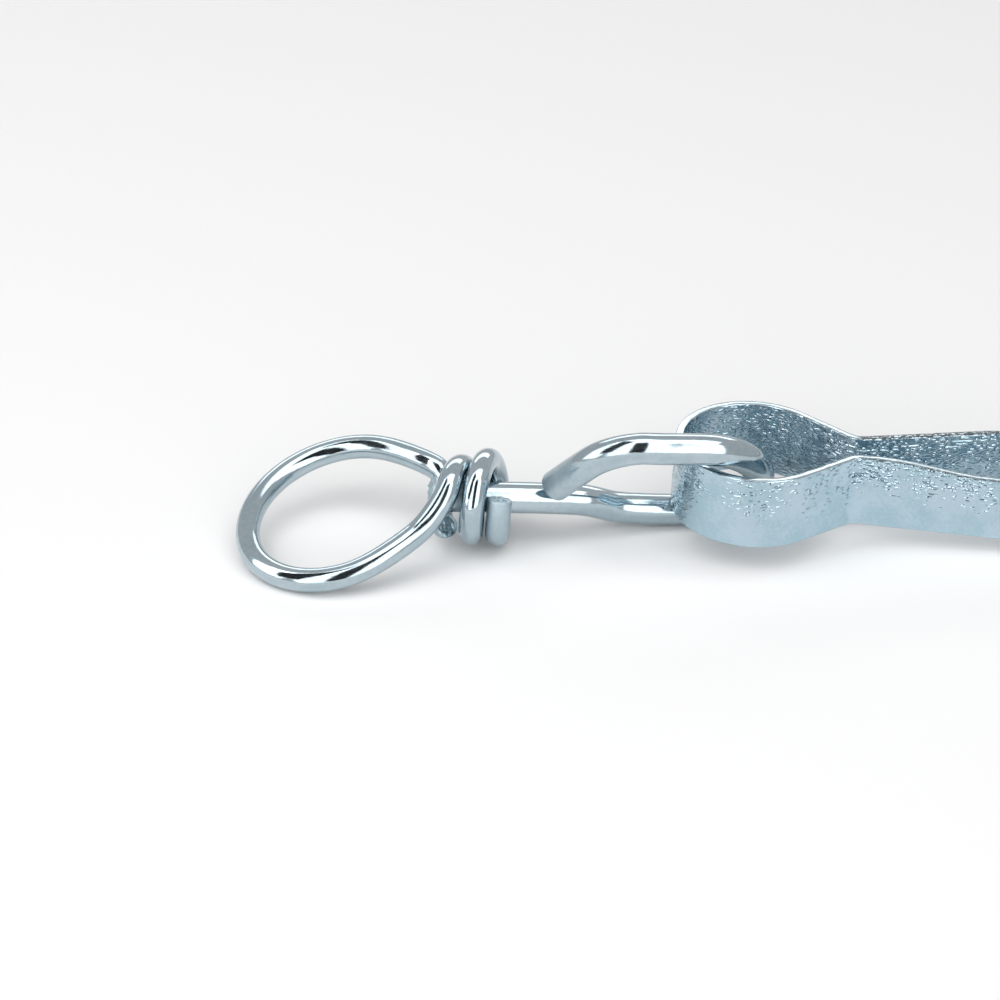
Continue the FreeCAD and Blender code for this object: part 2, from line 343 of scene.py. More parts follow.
def ring_corners(sizes, pin_wire):
    """Steering corners of the ring's wire, from the short wrap's cut end to the coil's."""
    wire = sizes.wire
    wrap = (pin_wire + wire) / 2 + sizes.wrap_clearance
    droop, roll, swing, oval = (math.degrees(turn) for turn in (
        sizes.droop, sizes.roll, sizes.swing, sizes.oval_angle))
    level = pin_along * -cos(swing) - pin_front * sin(swing)
    ahead = level * cos(droop) - pin_up * sin(droop)
    side = pin_front * cos(roll) - pin_up * sin(roll)
    side = (side - ahead * side.dot(ahead)).normalized()
    throat = coil_middle - pin_along * (THROAT_AHEAD * wire)
    centre = math.hypot(sizes.long_half * cos(oval), sizes.short_half * sin(oval)) + RING_AHEAD * wire

    corners = [around_pin(angle, round_corner(wrap, COIL_STEP), -WRAP_AHEAD * wire) for angle in WRAP_ANGLES]
    corners += [around_pin(angle, wrap + beyond * wire, -along * wire)
                for angle, beyond, along in SHORT_END_LEAD]
    for angle in RING_CORNERS:
        x = round_corner(sizes.long_half, RING_STEP) * cos(angle)
        y = round_corner(sizes.short_half, RING_STEP) * sin(angle)
        corners.append(throat + ahead * (centre + x * cos(oval) - y * sin(oval))
                       + side * (x * sin(oval) + y * cos(oval)))
    corners += [around_pin(angle, wrap + beyond * wire, -along * wire) for angle, beyond, along in COIL_LEAD]
    for angle in [*COIL_CORNERS, COIL_END_ANGLE]:
        swell = COIL_SWELL * smooth_step(angle, *SWELL_ANGLES)
        lift = HEAD_LIFT * (1 - smooth_step(angle, *HEAD_LIFT_ANGLES))
        along = COIL_PITCH * (angle - 360) / 360 + COIL_SHIFT - COIL_LEAN * cos(angle - COIL_LEAN_ANGLE)
        radius = wrap + (swell + lift) * wire
        corners.append(around_pin(angle, round_corner(radius, COIL_STEP), along * wire))
    return corners


def dress_wire(bm, waver, seed):
    """Slight waviness and dents of a wire that was drawn, bent and wound by machine."""
    bm.normal_update()
    for vertex in bm.verts:
        spot = vertex.co / MM + Vector((seed, 0, 0))
        broad = noise.noise(spot / 5.0)
        fine = noise.noise(spot / 1.4)
        vertex.co += vertex.normal * (waver * (broad + 0.35 * fine - 1.1))


class SWIVEL_OT_ring(bpy.types.Operator):
    """Builds the wire ring and its coil on the pin"""
    bl_idname = "swivel.ring"
    bl_label = "Ring"

    def execute(self, context):
        sizes = context.scene.swivel_ring_sizes
        radius = sizes.wire / 2
        line = trimmed(smooth_line(ring_corners(sizes, context.scene.eye_pin_sizes.wire), 14), 0.15 * radius)
        bm = bmesh.new()
        short_end, coil_end = sweep(bm, [(point, radius) for point in line], 56)
        dress_wire(bm, 0.012 * MM, 3.1)
        close_end(bm, short_end, (line[0] - line[1]).normalized(), radius, 1.7, pin_along * -0.7)
        close_end(bm, coil_end, (line[-1] - line[-2]).normalized(), radius, 8.3)
        mesh_object("ring_wire", bm, "swivel_ring", "swivel_ring",
                    [wire_plating(context), cut_plating(context)])
        return {"FINISHED"}


# ---- pin -----------------------------------------------------------------------------------

# The pin's bends in millimetres, along the pin from the coil's middle and across it in the eye's plane.
SHANK_TO_LOWER = 2.4
COIL_TO_BEND = 9.95
EYE_BEND_LENGTH = 10.7
BOW_LEAD = 0.97
UPPER_RUN = 6.1
UPPER_BEND_RADIUS = 8.0
UPPER_BEND_ANGLE = 65
END_GAP = 0.2
BOW_STEP = 30


def eye_corners(sizes, strap, seat):
    """Steering corners of the pin's wire, from under the head to the eye's cut end."""
    leaning = Vector((0, -sin(math.degrees(sizes.lean)), cos(math.degrees(sizes.lean))))
    across = (leaning - pin_along * leaning.dot(pin_along)).normalized()
    height = (strap.width + sizes.wire + 2 * sizes.rim_clearance) / (across.z * strap_up.z) / MM
    lower = -SHANK_TO_LOWER
    upper = lower + height
    bow = height / 2
    to_nose = nose_centre - coil_middle
    upper_side = (pin_along.y * to_nose.x - to_nose.y + across.y * upper * MM) / MM
    middle_radius = (strap.nose_radius - strap.thickness / 2) / MM
    bow_at = to_nose.x / MM - math.sqrt(middle_radius ** 2 - upper_side ** 2) - BOW_LEAD
    bend_end = COIL_TO_BEND + EYE_BEND_LENGTH
    radius = sizes.wire / 2 / MM
    stand_off = radius * (1 + cos(UPPER_BEND_ANGLE)) + END_GAP
    flat = [(-seat, 0), (-seat + 2, 0), (0, 0), (COIL_TO_BEND - 4, 0), (COIL_TO_BEND + 1.2, 0)]
    flat += [(COIL_TO_BEND + 0.37 * EYE_BEND_LENGTH, 0.16 * lower)]
    flat += [(bend_end - 0.37 * EYE_BEND_LENGTH, 0.84 * lower)]
    flat += [(bend_end - 1.2, lower), (bow_at - 2, lower)]
    for angle in range(-75, 76, BOW_STEP):
        reach = round_corner(bow, BOW_STEP)
        flat.append((bow_at + reach * cos(angle), lower + bow + reach * sin(angle)))
    upper_start = bow_at - UPPER_RUN
    step = UPPER_BEND_ANGLE / 3
    flat += [(bow_at - 1.4, upper - 0.02), (upper_start + 3.2, upper - 0.06)]
    flat += [(upper_start + 0.3, upper - 0.2)]
    for index in range(3):
        angle = 90 + step * (index + 0.5)
        reach = round_corner(UPPER_BEND_RADIUS, step)
        flat.append((upper_start + reach * cos(angle), upper - UPPER_BEND_RADIUS + reach * sin(angle)))
    slope = (upper_start - UPPER_BEND_RADIUS * sin(UPPER_BEND_ANGLE),
             upper - UPPER_BEND_RADIUS * (1 - cos(UPPER_BEND_ANGLE)))
    run = (slope[1] - stand_off) / sin(UPPER_BEND_ANGLE)
    for share_of_run in (0.2, 0.6, 0.95):
        along = share_of_run * run
        flat.append((slope[0] - along * cos(UPPER_BEND_ANGLE), slope[1] - along * sin(UPPER_BEND_ANGLE)))
    return [coil_middle + pin_along * (a * MM) + across * (b * MM) for a, b in flat]


class SWIVEL_OT_eye_pin(bpy.types.Operator):
    """Builds the headed pin with its open eye"""
    bl_idname = "swivel.eye_pin"
    bl_label = "Eye pin"

    def execute(self, context):
        sizes = context.scene.eye_pin_sizes
        seat = SEAT_AHEAD * context.scene.swivel_ring_sizes.wire / MM
        radius = sizes.wire / 2
        line = trimmed(smooth_line(eye_corners(sizes, context.scene.strap_sizes, seat), 22), 0.15 * radius)
        head = radius + sizes.head_ledge
        thick = sizes.head_thickness
        shape = ((0.86, 0.84), (0.80, 0.93), (0.68, 0.985), (0.55, 1.0), (0.40, 1.0), (0.22, 0.975),
                 (0.10, 0.91))
        stations = [(line[0] - pin_along * (thick * back), head * wide) for back, wide in shape]
        stations += [(line[0] + pin_along * (0.02 * thick), radius * 1.02)]
        stations += [(point, radius) for point in line[1:]]
        bm = bmesh.new()
        head_end, eye_end = sweep(bm, stations, 64)
        dress_wire(bm, 0.013 * MM, 21.7)
        close_end(bm, head_end, -pin_along, head * 0.84, 4.4)
        close_end(bm, eye_end, (line[-1] - line[-2]).normalized(), radius, 6.1)
        mesh_object("eye_pin_wire", bm, "eye_pin", "eye_pin",
                    [wire_plating(context), cut_plating(context)])
        return {"FINISHED"}


# ---- strap ---------------------------------------------------------------------------------

NOSE_TAPER = 38
WAIST_GAP = 3.5
WAIST_BEND = 2.5
FRONT_SPLAY = 5.5
BACK_SPLAY = 11.5
ARM_LENGTH = 21.0
EAR_BEND = 8.0
EAR_RINGS = 8
FRONT_STEP = 15.5
BACK_STEP = 28.0
STEP_LENGTH = 13.0
ACROSS_FACES = 46
FACE_LENGTH = 0.2


class StripSide:
    """One side of the strip's middle line in millimetres, from the nose's tip to the ear's middle."""

    def __init__(self, strap, splay):
        radius = (strap.nose_radius - strap.thickness / 2) / MM
        half = (WAIST_GAP + strap.thickness / MM) / 2
        side = (radius * cos(NOSE_TAPER) - half - WAIST_BEND * (1 - cos(NOSE_TAPER))) / sin(NOSE_TAPER)
        self.start = -radius
        self.parts = [
            (math.radians(90 + NOSE_TAPER) * radius, -1 / radius),
            (side, 0.0),
            (math.radians(NOSE_TAPER + splay) * WAIST_BEND, 1 / WAIST_BEND),
            (ARM_LENGTH / cos(splay), 0.0),
            (math.radians(splay) * EAR_BEND, -1 / EAR_BEND),
        ]
        self.bends = sum(length for length, _ in self.parts)
        self.bore_x = -(strap_along.dot(nose_centre - Vector(ear_bore["pos_m"]))) / MM
        self.ear_x = self.place(self.bends)[0]

    @functools.lru_cache(maxsize=None)
    def place(self, distance):
        """Along, aside and heading at this distance from the tip of the nose."""
        x, y, heading = self.start, 0.0, math.pi / 2
        left = distance
        for length, bend in self.parts + [(math.inf, 0.0)]:
            run = min(left, length)
            if bend:
                x += (math.sin(heading + bend * run) - math.sin(heading)) / bend
                y -= (math.cos(heading + bend * run) - math.cos(heading)) / bend
                heading += bend * run
            else:
                x += run * math.cos(heading)
                y += run * math.sin(heading)
            left -= run
            if left <= 0:
                break
        return x, y, heading


def strip_point(x, y, height):
    return nose_centre + strap_along * (x * MM) + WORLD_Y * (y * MM) + strap_up * (height * MM)


def build_strip(strap):
    """Middle surface of the strap: one strip with an ear at each end."""
    width = strap.width / MM
    arm_width = strap.arm_width / MM
    ear_radius = strap.ear_diameter / 2 / MM
    bore_radius = ear_bore["dims"]["r_mm"]
    bottom = -width / 2
    middle = (arm_width - width) / 2
    reach = math.degrees(math.asin(arm_width / 2 / ear_radius))
    ear_steps = round(ACROSS_FACES * 180 / reach)
    ear_step = 360 / ear_steps
    sides = {1: StripSide(strap, BACK_SPLAY), -1: StripSide(strap, FRONT_SPLAY)}
    steps = {1: BACK_STEP, -1: FRONT_STEP}
    lengths = {}
    for sign, side in sides.items():
        lengths[sign] = side.bends + side.bore_x - ear_radius - side.ear_x
    total = lengths[1] + lengths[-1]
    columns = round(total / FACE_LENGTH)

    bm = bmesh.new()
    spread = bm.verts.layers.float_vector.new("strip_place")
    grid = bmesh.ops.create_grid(bm, x_segments=columns, y_segments=ACROSS_FACES, size=1.0)["verts"]
    for vertex in grid:
        distance = (vertex.co.x + 1) / 2 * total - lengths[-1]
        across = (vertex.co.y + 1) / 2
        sign = 1 if distance >= 0 else -1
        side = sides[sign]
        angle = (across - 0.5) * ACROSS_FACES * ear_step
        bulge = ear_radius * (1 - cos(angle))
        to_ear = smooth_step(abs(distance), lengths[sign] - 5.0, lengths[sign])
        x, y, _ = side.place(abs(distance) + bulge * to_ear)
        top = width / 2 - (width - arm_width) * smooth_step(x, steps[sign], steps[sign] + STEP_LENGTH)
        even = bottom + (top - bottom) * across
        height = even * (1 - to_ear) + (middle + ear_radius * sin(angle)) * to_ear
        vertex.co = strip_point(x, sign * y, height)
        vertex[spread] = (distance, height, 0)
    for sign, side in sides.items():
        offset = sign * side.place(side.bends)[1]
        turn = 180 - ACROSS_FACES / 2 * ear_step
        spokes = []
        for index in range(EAR_RINGS + 1):
            radius = bore_radius + (ear_radius - bore_radius) * index / EAR_RINGS
            spokes.append(bm.verts.new(strip_point(side.bore_x + radius * cos(turn), offset,
                                                   middle + radius * sin(turn))))
        links = [bm.edges.new(pair) for pair in zip(spokes, spokes[1:])]
        centre = strip_point(side.bore_x, offset, middle)
        strip_size = len(bm.verts) - len(spokes)
        bmesh.ops.spin(bm, geom=spokes + links, cent=centre, axis=WORLD_Y, dvec=(0, 0, 0),
                       angle=2 * math.pi, space=Matrix.Identity(4), steps=ear_steps, use_merge=True,
                       use_normal_flip=False, use_duplicate=False)
        bm.verts.ensure_lookup_table()
        for vertex in bm.verts[strip_size:]:
            out = vertex.co - nose_centre
            along = side.bends + out.dot(strap_along) / MM - side.ear_x
            vertex[spread] = (sign * along, out.dot(strap_up) / MM, 0)
    bmesh.ops.remove_doubles(bm, verts=bm.verts, dist=0.004 * MM)
    bmesh.ops.recalc_face_normals(bm, faces=bm.faces)
    return bm


def thicken(bm, strap):
    """The strip with its thickness and rounded rims."""
    mesh = bpy.data.meshes.new("strip_middle")
    bm.to_mesh(mesh)
    bm.free()
    blank = bpy.data.objects.new("strip_middle", mesh)
    bpy.context.scene.collection.objects.link(blank)
    shell = blank.modifiers.new("Thickness", "SOLIDIFY")
    shell.thickness = strap.thickness
    shell.offset = 0.0
    rim = blank.modifiers.new("Rim", "BEVEL")
    rim.width = strap.rim_round
    rim.segments = 3
    rim.limit_method = "ANGLE"
    rim.angle_limit = math.radians(50)
    rim.use_clamp_overlap = False
    graph = bpy.context.evaluated_depsgraph_get()
    baked = bpy.data.meshes.new_from_object(blank.evaluated_get(graph))
    solid = bmesh.new()
    solid.from_mesh(baked)
    bpy.data.objects.remove(blank)
    bpy.data.meshes.remove(mesh)
    bpy.data.meshes.remove(baked)
    return solid


def bell(value, middle, spread):
    return math.exp(-((value - middle) / spread) ** 2)


MOST_CREASED = 2.6
# Places along the strip in millimetres from the tip of the nose.
NOSE_HALF = 22
EARS_FROM = 50
EAR_FADE = (60, 68)
CREASED_FROM = (26.5, 29.5)
CREASED_TO = (38, 48)
# From here on, painted dark reflections mark the upper rims.
DARK_REFLECTION_FROM = (28.5, 30)


def crease(bm, depth):
    """Fine creases and soft waves of the strip's skin: more at the bends, inside and along the upper edge;
    also the crease amount behind the painted crease shade, and the mask of painted dark reflections on the
    upper rims.
    """
    bm.normal_update()
    spread = bm.verts.layers.float_vector["strip_place"]
    amount = bm.verts.layers.float.new("creased")
    painted_dark_reflection = bm.verts.layers.float.new("painted_dark_reflection")
    shift = Vector((11.3, 4.7, 2.9))
    for vertex in bm.verts:
        distance, height, _ = vertex[spread]
        spot = vertex.co / MM
        edge = abs(vertex.normal.dot(strap_up))
        away = abs(distance)
        if away > EARS_FROM:
            edge = max(edge, 1 - abs(vertex.normal.y))
        if away < NOSE_HALF:
            inside = vertex.normal.dot(nose_centre - vertex.co) > 0
        else:
            inside = vertex.normal.y * distance < 0
        high = smooth_step(height, -1.0, 3.2)
        beyond_waist = smooth_step(away, *CREASED_FROM) * (1 - smooth_step(away, *CREASED_TO))
        strength = 0.22 + 1.1 * bell(distance, -1.0, 4.0) + MOST_CREASED * beyond_waist * high
        strength += 0.55 * smooth_step(height, -3.5, 3.0)
        strength = 0.5 + 0.85 * high if inside else strength
        patches = smooth_step(noise.noise(spot / 3.5 + shift), -0.45, 0.35)
        strength = min(strength * (0.45 + 0.65 * patches), MOST_CREASED)
        strength *= 1 - 0.7 * smooth_step(away, *EAR_FADE)
        vertex[amount] = strength
        # Painted dark reflection: a mask on the rims that face up beyond the waist, and on the front arm only
        # where the rim also faces the front.
        reflection_blotches = smooth_step(vertex.normal.dot(strap_up), 0.1, 0.4) * smooth_step(away, *DARK_REFLECTION_FROM)
        facing_front = smooth_step(-vertex.normal.y, -0.15, 0.35) if vertex.co.y < nose_centre.y else 1.0
        vertex[painted_dark_reflection] = reflection_blotches * facing_front
        along = Vector((distance * 0.55, height * 1.25, 7.0 * inside))
        wrinkle = noise.ridged_multi_fractal(along / 1.1 + shift, 1.0, 2.1, 3, 1.0, 1.6)
        wave = noise.noise(spot / 7.0)
        sunk = min(strength * (wrinkle - 1.3) + 1.2 * wave - 0.4, 0.0)
        vertex.co += vertex.normal * (depth * sunk * (1 - 0.85 * edge))


class SWIVEL_OT_strap(bpy.types.Operator):
    """Builds the folded strap with its two ears"""
    bl_idname = "swivel.strap"
    bl_label = "Strap"

    def execute(self, context):
        strap = context.scene.strap_sizes
        bm = thicken(build_strip(strap), strap)
        bm.normal_update()
        spread = bm.verts.layers.float_vector["strip_place"]
        for face in bm.faces:
            on_ear = abs(face.verts[0][spread].x) > EARS_FROM
            rim = abs(face.normal.dot(strap_up)) > 0.4 or (on_ear and abs(face.normal.y) < 0.5)
            face.material_index = 1 if rim else 0
        crease(bm, strap.crease)
        mesh_object("folded_strip", bm, "strap", "strap",
                    [strip_plating(context), edge_plating(context)])
        return {"FINISHED"}


# ---- finishes ------------------------------------------------------------------------------


def shader_group(name, inputs, outputs):
    """An empty group with these sockets: (name, type, default)."""
    group = bpy.data.node_groups.new(name, "ShaderNodeTree")
    for socket_name, kind, default in inputs:
        socket = group.interface.new_socket(socket_name, in_out="INPUT", socket_type="NodeSocket" + kind)
        if default is not None:
            socket.default_value = default
    for socket_name, kind in outputs:
        group.interface.new_socket(socket_name, in_out="OUTPUT", socket_type="NodeSocket" + kind)
    return group, group.nodes.new("NodeGroupInput"), group.nodes.new("NodeGroupOutput")


def noise_node(tree, scale, detail, roughness):
    node = tree.nodes.new("ShaderNodeTexNoise")
    node.inputs["Scale"].default_value = scale
    node.inputs["Detail"].default_value = detail
    node.inputs["Roughness"].default_value = roughness
    return node


def maths(tree, operation, first, second):
    """A Math node; each input is a socket or a number."""
    node = tree.nodes.new("ShaderNodeMath")
    node.operation = operation
    for socket, value in zip(node.inputs, (first, second)):
        if isinstance(value, bpy.types.NodeSocket):
            tree.links.new(value, socket)
        else:
            socket.default_value = value
    return node.outputs[0]


def remap(tree, value, low, high, to_low, to_high):
    node = tree.nodes.new("ShaderNodeMapRange")
    node.interpolation_type = "SMOOTHSTEP"
    tree.links.new(value, node.inputs["Value"])
    for name, number in (("From Min", low), ("From Max", high), ("To Min", to_low), ("To Max", to_high)):
        if isinstance(number, bpy.types.NodeSocket):
            tree.links.new(number, node.inputs[name])
        else:
            node.inputs[name].default_value = number
    return node.outputs["Result"]


def plating_tone_group():
    """Uneven tint of thin plating: cloudy patches with a fine mottle."""
    group, given, result = shader_group(
        "plating_tone",
        [("Vector", "Vector", None), ("Light", "Color", (1, 1, 1, 1)), ("Deep", "Color", (0.5, 0.5, 0.5, 1)),
         ("Cloud Size", "Float", 6.0), ("Mottle Size", "Float", 0.5)],
        [("Colour", "Color"), ("Mask", "Float")])
    clouds = sized_noise(group, given.outputs["Vector"], given.outputs["Cloud Size"], 3.0, 0.55)
    mottle = sized_noise(group, given.outputs["Vector"], given.outputs["Mottle Size"], 2.0, 0.6)
    both = maths(group, "ADD", maths(group, "MULTIPLY", clouds.outputs[0], 0.65),
                 maths(group, "MULTIPLY", mottle.outputs[0], 0.35))
    mask = remap(group, both, 0.38, 0.62, 0.0, 1.0)
    tint = blend(group, mask, given.outputs["Deep"], given.outputs["Light"])
    group.links.new(tint, result.inputs["Colour"])
    group.links.new(mask, result.inputs["Mask"])
    return group


def plating_grain_group():
    """Fine orange-peel grain and pin-prick specks of dipped plating, as a height."""
    group, given, result = shader_group(
        "plating_grain",
        [("Vector", "Vector", None), ("Grain Size", "Float", 0.3), ("Speck Size", "Float", 0.4),
         ("Speck Amount", "Float", 0.5)],
        [("Height", "Float"), ("Specks", "Float")])
    grain = sized_noise(group, given.outputs["Vector"], given.outputs["Grain Size"], 3.0, 0.6)
    cells = group.nodes.new("ShaderNodeTexVoronoi")
    group.links.new(given.outputs["Vector"], cells.inputs["Vector"])
    group.links.new(maths(group, "DIVIDE", PER_METRE, given.outputs["Speck Size"]), cells.inputs["Scale"])
    specks = remap(group, cells.outputs["Distance"], 0.12, 0.30, 1.0, 0.0)
    specks = maths(group, "MULTIPLY", specks, given.outputs["Speck Amount"])
    group.links.new(maths(group, "ADD", grain.outputs[0], specks), result.inputs["Height"])
    group.links.new(specks, result.inputs["Specks"])
    return group


def drawn_lines_group():
    """Faint lines that a drawing die leaves along a wire, from the wire's own place attribute."""
    group, given, result = shader_group(
        "drawn_lines",
        [("Place", "Vector", None), ("Lines", "Float", 14.0)],
        [("Height", "Float"), ("Mask", "Float")])
    squeeze = group.nodes.new("ShaderNodeVectorMath")
    squeeze.operation = "MULTIPLY"
    squeeze.inputs[1].default_value = (0.012, 1.0, 1.0)
    group.links.new(given.outputs["Place"], squeeze.inputs[0])
    lines = noise_node(group, 1.0, 3.0, 0.65)
    group.links.new(squeeze.outputs[0], lines.inputs["Vector"])
    group.links.new(given.outputs["Lines"], lines.inputs["Scale"])
    group.links.new(lines.outputs[0], result.inputs["Height"])
    group.links.new(remap(group, lines.outputs[0], 0.42, 0.62, 0.0, 1.0), result.inputs["Mask"])
    return group


def skin_creases_group():
    """Fine crossing creases of a bent strip's plating, from the strip's own place attribute; their mask also
    drives the painted crease shade.
    """
    group, given, result = shader_group(
        "skin_creases",
        [("Place", "Vector", None), ("Amount", "Float", 1.0), ("Size", "Float", 0.48)],
        [("Height", "Float"), ("Mask", "Float")])
    stretch = group.nodes.new("ShaderNodeVectorMath")
    stretch.operation = "MULTIPLY"
    stretch.inputs[1].default_value = (0.55, 1.2, 1.0)
    group.links.new(given.outputs["Place"], stretch.inputs[0])
    ridges = noise_node(group, 1.0, 3.0, 0.55)
    ridges.noise_type = "RIDGED_MULTIFRACTAL"
    group.links.new(stretch.outputs[0], ridges.inputs["Vector"])
    group.links.new(maths(group, "DIVIDE", 1.0, given.outputs["Size"]), ridges.inputs["Scale"])
    height = maths(group, "MULTIPLY", ridges.outputs[0], given.outputs["Amount"])
    group.links.new(height, result.inputs["Height"])
    group.links.new(remap(group, height, 0.15, 0.7, 0.0, 1.0), result.inputs["Mask"])
    return group


def group_node(tree, name, build):
    node = tree.nodes.new("ShaderNodeGroup")
    node.node_tree = bpy.data.node_groups.get(name) or build()
    return node


def attribute(tree, name):
    node = tree.nodes.new("ShaderNodeAttribute")
    node.attribute_name = name
    return node


def blend(tree, factor, first, second):
    """Mix of two colours; the second is a socket or a plain colour."""
    node = tree.nodes.new("ShaderNodeMix")
    node.data_type = "RGBA"
    tree.links.new(factor, node.inputs["Factor"])
    tree.links.new(first, node.inputs[6])
    if isinstance(second, bpy.types.NodeSocket):
        tree.links.new(second, node.inputs[7])
    else:
        node.inputs[7].default_value = (*second, 1)
    return node.outputs[2]


def sized_noise(group, vector, size_in_mm, detail, roughness):
    """Noise whose features have this size, given by a socket in millimetres."""
    node = noise_node(group, 1.0, detail, roughness)
    group.links.new(vector, node.inputs["Vector"])
    group.links.new(maths(group, "DIVIDE", PER_METRE, size_in_mm), node.inputs["Scale"])
    return node


def bump(tree, height, strength, distance, shader, before=None):
    node = tree.nodes.new("ShaderNodeBump")
    node.inputs["Strength"].default_value = strength
    node.inputs["Distance"].default_value = distance
    tree.links.new(height, node.inputs["Height"])
    if before:
        tree.links.new(before.outputs[0], node.inputs["Normal"])
    tree.links.new(node.outputs[0], shader.inputs["Normal"])
    return node


def metal(name):
    """An empty metal material with Object coordinates."""
    material = bpy.data.materials.new(name)
    material.use_nodes = True
    tree = material.node_tree
    tree.nodes.clear()
    shader = tree.nodes.new("ShaderNodeBsdfPrincipled")
    shader.inputs["Metallic"].default_value = 1.0
    output = tree.nodes.new("ShaderNodeOutputMaterial")
    tree.links.new(shader.outputs[0], output.inputs["Surface"])
    where = tree.nodes.new("ShaderNodeTexCoord").outputs["Object"]
    return material, tree, shader, where


def toned(tree, shader, where, light, deep, cloud, mottle):
    tone = group_node(tree, "plating_tone", plating_tone_group)
    tree.links.new(where, tone.inputs["Vector"])
    tone.inputs["Light"].default_value = (*light, 1)
    tone.inputs["Deep"].default_value = (*deep, 1)
    tone.inputs["Cloud Size"].default_value = cloud
    tone.inputs["Mottle Size"].default_value = mottle
    tree.links.new(tone.outputs["Colour"], shader.inputs["Base Color"])
    return tone


def grained(tree, where, grain_size, speck_size, speck_amount):
    grain = group_node(tree, "plating_grain", plating_grain_group)
    tree.links.new(where, grain.inputs["Vector"])
    grain.inputs["Grain Size"].default_value = grain_size
    grain.inputs["Speck Size"].default_value = speck_size
    grain.inputs["Speck Amount"].default_value = speck_amount
    return grain


def wire_plating(context):
    """Bright plating over drawn wire."""
    look = context.scene.plating_look
    if "wire_plating" in bpy.data.materials:
        return bpy.data.materials["wire_plating"]
    material, tree, shader, where = metal("wire_plating")
    tone = toned(tree, shader, where, look.wire_colour, look.wire_deep, 7.0, 0.7)
    lines = group_node(tree, "drawn_lines", drawn_lines_group)
    tree.links.new(attribute(tree, "wire_place").outputs["Vector"], lines.inputs["Place"])
    grain = grained(tree, where, 0.35, 1.1, 0.35)
    base = look.wire_gloss
    rough = remap(tree, tone.outputs["Mask"], 0.0, 1.0, base * 1.5, base * 0.75)
    rough = maths(tree, "ADD", rough, maths(tree, "MULTIPLY", lines.outputs["Mask"], base * 0.5))
    dulled = maths(tree, "MULTIPLY", attribute(tree, "near_cut").outputs["Fac"], look.dull_ends)
    rough = maths(tree, "ADD", rough, dulled)
    tree.links.new(rough, shader.inputs["Roughness"])
    first = bump(tree, lines.outputs["Height"], 0.3, 0.02 * MM, shader)
    bump(tree, grain.outputs["Height"], 0.10, 0.02 * MM, shader, first)
    return material


def cut_plating(context):
    """Plating over a torn, sheared wire end."""
    look = context.scene.plating_look
    if "cut_plating" in bpy.data.materials:
        return bpy.data.materials["cut_plating"]
    material, tree, shader, where = metal("cut_plating")
    toned(tree, shader, where, look.wire_colour, look.strip_deep_and_crease_shade, 1.2, 0.25)
    grain = grained(tree, where, 0.22, 0.35, 0.8)
    rough = remap(tree, grain.outputs["Specks"], 0.0, 0.6, look.cut_gloss, look.cut_gloss * 0.6)
    tree.links.new(rough, shader.inputs["Roughness"])
    bump(tree, grain.outputs["Height"], 0.6, 0.08 * MM, shader)
    return material


def strip_plating(context):
    """Satin plating on the strip's faces, finely creased."""
    look = context.scene.plating_look
    material, tree, shader, where = metal("strip_plating")
    tone = toned(tree, shader, where, look.strip_colour, look.strip_deep_and_crease_shade, 5.0, 0.45)
    grain = grained(tree, where, 0.28, 0.75, 0.5)
    rough = remap(tree, tone.outputs["Mask"], 0.0, 1.0, look.strip_gloss * 1.35, look.strip_gloss * 0.7)
    tree.links.new(rough, shader.inputs["Roughness"])
    creases = group_node(tree, "skin_creases", skin_creases_group)
    tree.links.new(attribute(tree, "strip_place").outputs["Vector"], creases.inputs["Place"])
    tree.links.new(attribute(tree, "creased").outputs["Fac"], creases.inputs["Amount"])
    # Painted shade: the base colour darkens towards the deep colour along the fine creases.
    depth = maths(tree, "MULTIPLY", creases.outputs["Mask"], 0.5)
    tree.links.new(blend(tree, depth, tone.outputs["Colour"], look.strip_deep_and_crease_shade), shader.inputs["Base Color"])
    first = bump(tree, grain.outputs["Height"], 0.2, 0.03 * MM, shader)
    bump(tree, creases.outputs["Height"], 1.0, look.crease_height, shader, first)
    return material


# Size and colour of the painted dark reflections in blotches on the strip's upper rims.
REFLECTION_BLOTCH_SIZE = 0.42
PAINTED_REFLECTION_COLOUR = (0.045, 0.055, 0.06)


def edge_plating(context):
    """Brighter plating on the strip's shear-cut and tumbled edges, with painted dark reflections in blotches
    on the upper rims.
    """
    look = context.scene.plating_look
    material, tree, shader, where = metal("edge_plating")
    tone = toned(tree, shader, where, look.wire_colour, look.wire_deep, 3.0, 0.4)
    grain = grained(tree, where, 0.5, 0.9, 0.3)
    rough = remap(tree, tone.outputs["Mask"], 0.0, 1.0, look.edge_gloss * 1.5, look.edge_gloss * 0.8)
    reflection_blotches = noise_node(tree, 1 / (REFLECTION_BLOTCH_SIZE * MM), 2.0, 0.6)
    tree.links.new(where, reflection_blotches.inputs["Vector"])
    # Painted dark reflection: the colour goes to near black in blotches where the mask is set.
    dark = maths(tree, "MULTIPLY", attribute(tree, "painted_dark_reflection").outputs["Fac"],
                 remap(tree, reflection_blotches.outputs[0], 0.40, 0.55, 0.25, 0.95))
    tree.links.new(blend(tree, dark, tone.outputs["Colour"], PAINTED_REFLECTION_COLOUR), shader.inputs["Base Color"])
    tree.links.new(maths(tree, "ADD", rough, maths(tree, "MULTIPLY", dark, 0.25)), shader.inputs["Roughness"])
    bump(tree, grain.outputs["Height"], 0.25, 0.03 * MM, shader)
    return material


# ---- studio --------------------------------------------------------------------------------


def direction(azimuth, elevation):
    """Unit vector to a place seen from the object: azimuth 0 is the front, 90 the right."""
    return Vector((sin(azimuth) * cos(elevation), -cos(azimuth) * cos(elevation), sin(elevation)))


def facing(where, target):
    """Rotation that turns a panel's or camera's -Z from where to the target."""
    return (target - where).to_track_quat("-Z", "Y")


